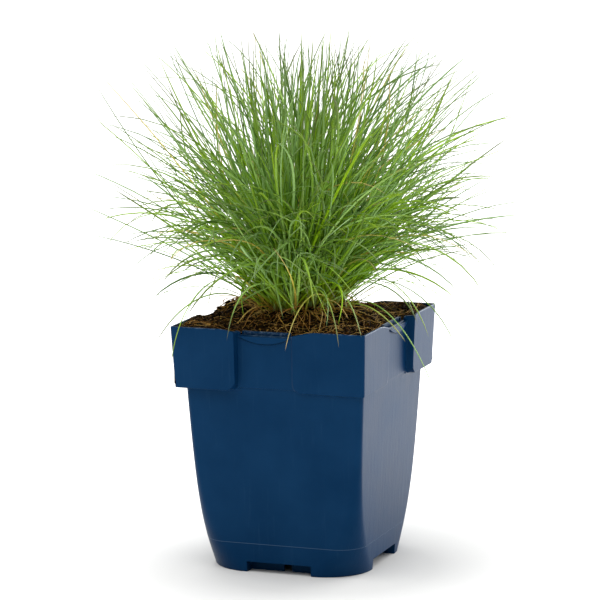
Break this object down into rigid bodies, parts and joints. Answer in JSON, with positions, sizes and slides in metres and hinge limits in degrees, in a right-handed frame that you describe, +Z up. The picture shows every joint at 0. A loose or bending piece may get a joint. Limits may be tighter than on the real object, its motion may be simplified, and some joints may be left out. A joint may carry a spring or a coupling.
{
  "type": "potted blue fescue clump",
  "caption": "Square nursery pot of moist peat holding a round clump of fine, arching blue fescue leaves.",
  "frame": {"origin": "on the ground, under the middle of the pot", "axes": "+Z up; -Y out of the pot's front, whose proud collar corner is at -X; +X to the right along that front"},
  "size_m": [0.2713, 0.2713, 0.3426],
  "materials": {
    "navy_plastic": "satin injection-moulded navy plastic with fine drawn streaks, slightly scuffed at the rim",
    "peat": "moist dark peat with orange-brown fibres",
    "fescue_leaf": "matt green needle leaves with a grey bloom, yellow-green at the base and grey-brown at the tip"
  },
  "bodies": {
    "root": {"arching_leaf_01": "fescue_leaf", "arching_leaf_02": "fescue_leaf", "arching_leaf_03": "fescue_leaf", "arching_leaf_04": "fescue_leaf", "arching_leaf_05": "fescue_leaf", "arching_leaf_06": "fescue_leaf", "arching_leaf_07": "fescue_leaf", "arching_leaf_08": "fescue_leaf", "arching_leaf_09": "fescue_leaf", "arching_leaf_10": "fescue_leaf", "arching_leaf_11": "fescue_leaf", "arching_leaf_12": "fescue_leaf", "arching_leaf_13": "fescue_leaf", "arching_leaf_14": "fescue_leaf", "arching_leaf_15": "fescue_leaf", "arching_leaf_16": "fescue_leaf", "arching_leaf_17": "fescue_leaf", "arching_leaf_18": "fescue_leaf", "arching_leaf_19": "fescue_leaf", "arching_leaf_20": "fescue_leaf", "leaf_tuft_01": "fescue_leaf", "leaf_tuft_02": "fescue_leaf", "leaf_tuft_03": "fescue_leaf", "leaf_tuft_04": "fescue_leaf", "leaf_tuft_05": "fescue_leaf", "leaf_tuft_06": "fescue_leaf", "leaf_tuft_07": "fescue_leaf", "leaf_tuft_08": "fescue_leaf", "leaf_tuft_09": "fescue_leaf", "leaf_tuft_10": "fescue_leaf", "leaf_tuft_11": "fescue_leaf", "leaf_tuft_12": "fescue_leaf", "leaf_tuft_13": "fescue_leaf", "leaf_tuft_14": "fescue_leaf", "leaf_tuft_15": "fescue_leaf", "leaf_tuft_16": "fescue_leaf", "leaf_tuft_17": "fescue_leaf", "leaf_tuft_18": "fescue_leaf", "leaf_tuft_19": "fescue_leaf", "leaf_tuft_20": "fescue_leaf", "leaf_tuft_21": "fescue_leaf", "leaf_tuft_22": "fescue_leaf", "leaf_tuft_23": "fescue_leaf", "leaf_tuft_24": "fescue_leaf", "leaf_tuft_25": "fescue_leaf", "leaf_tuft_26": "fescue_leaf", "leaf_tuft_27": "fescue_leaf", "leaf_tuft_28": "fescue_leaf", "leaf_tuft_29": "fescue_leaf", "leaf_tuft_30": "fescue_leaf", "leaf_tuft_31": "fescue_leaf", "leaf_tuft_32": "fescue_leaf", "leaf_tuft_33": "fescue_leaf", "leaf_tuft_34": "fescue_leaf", "pot": "navy_plastic", "potting_soil": "peat"}
  },
  "joints": []
}
